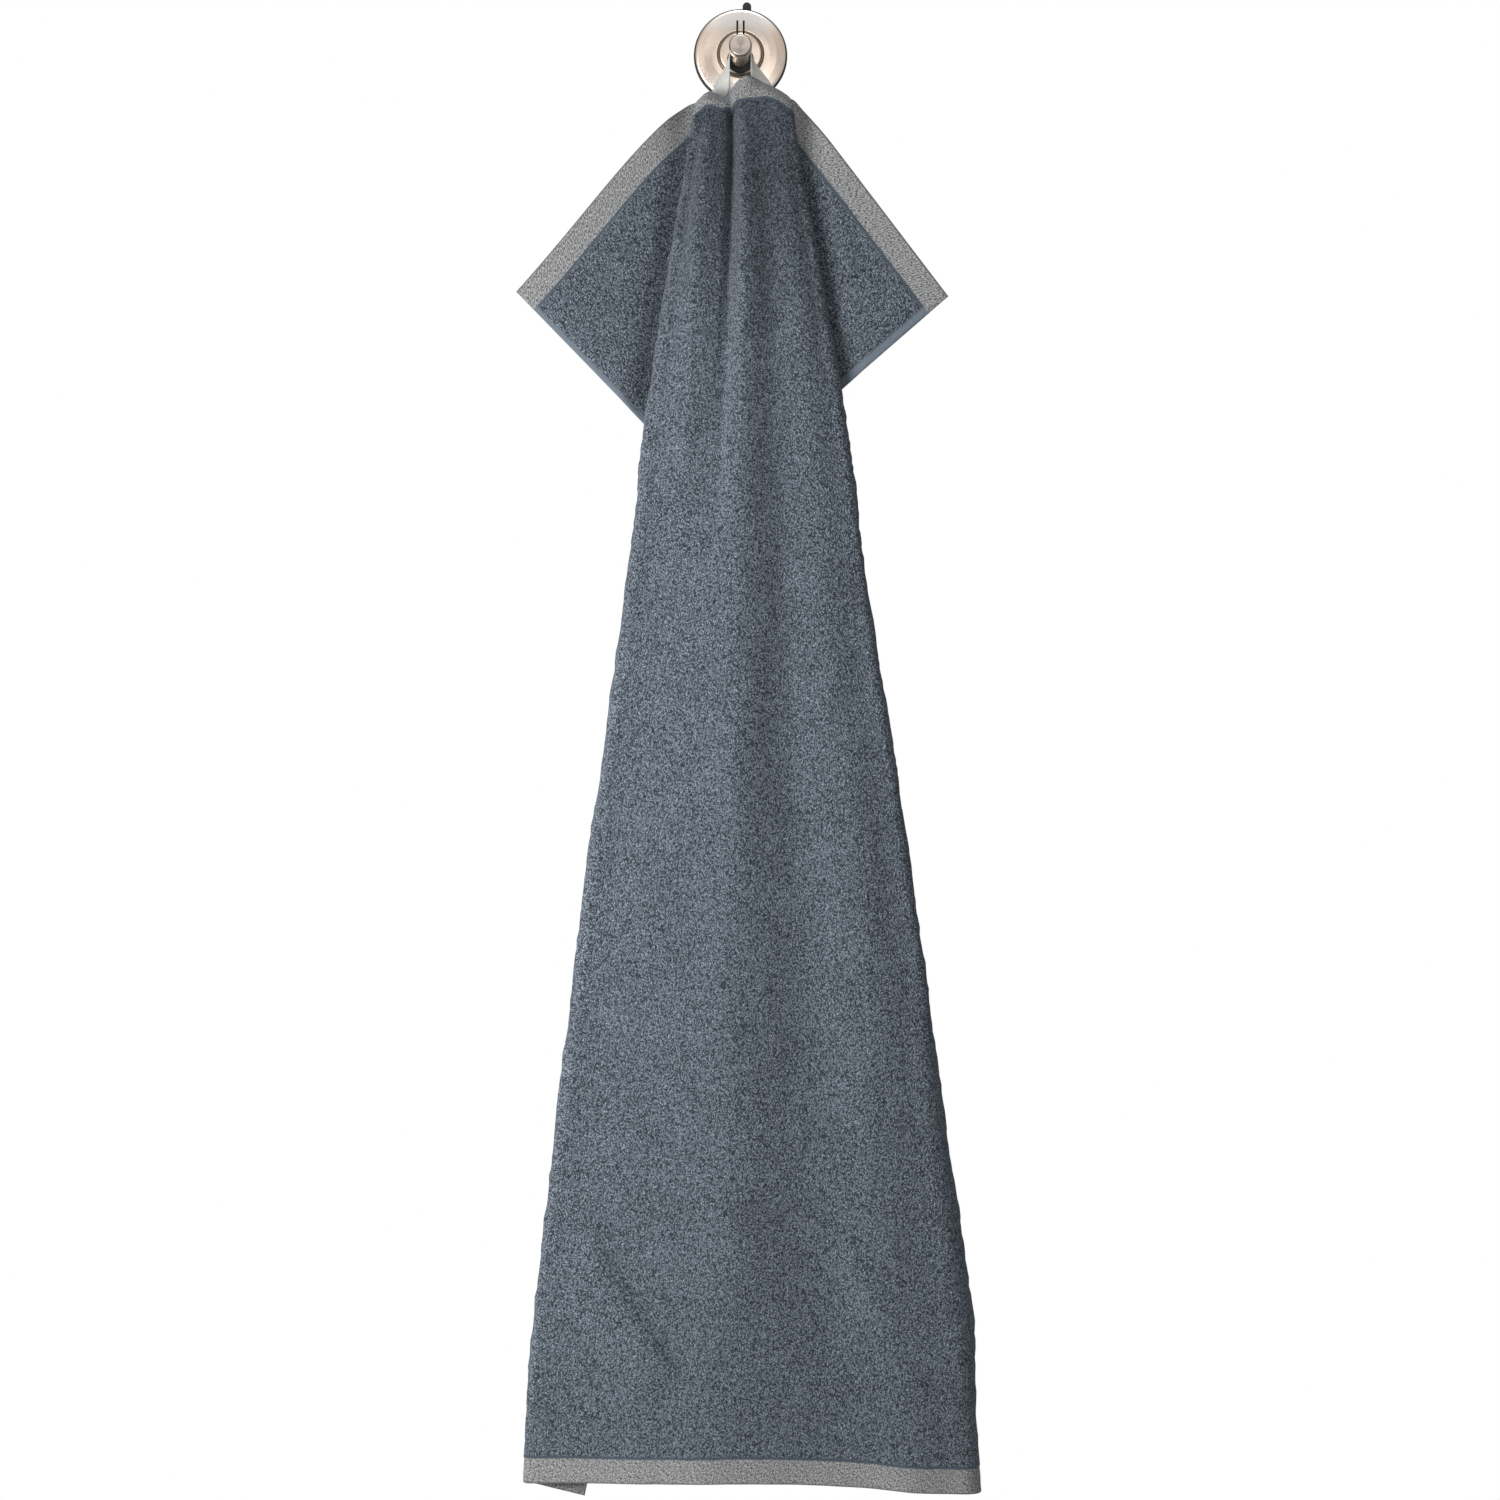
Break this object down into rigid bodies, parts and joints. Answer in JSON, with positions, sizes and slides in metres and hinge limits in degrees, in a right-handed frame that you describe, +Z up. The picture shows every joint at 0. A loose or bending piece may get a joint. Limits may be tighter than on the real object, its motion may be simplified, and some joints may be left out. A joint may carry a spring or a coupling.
{
  "type": "hand towel on a wall hook",
  "caption": "Terry hand towel hung by its tape loop from a round wall hook, gathered at the top so that its corners fall as flaps and the cloth fans out below.",
  "frame": {"origin": "centre of the hook's flat back face, on the wall", "axes": "+Z up, +Y into the wall, +X to the right as seen from the room; the towel's front faces -Y"},
  "size_m": [0.3303, 0.0695, 1.0644],
  "materials": {
    "terry": "slate blue looped terry with grey woven borders",
    "tape": "pale satin tape",
    "nickel": "warm brushed nickel",
    "rubber": "smooth black"
  },
  "bodies": {
    "root": {"towel": "terry", "hanging_loop": "tape", "peg": "nickel", "rosette": "nickel", "peg_gasket": "rubber", "suction_pad": "rubber"}
  },
  "joints": []
}
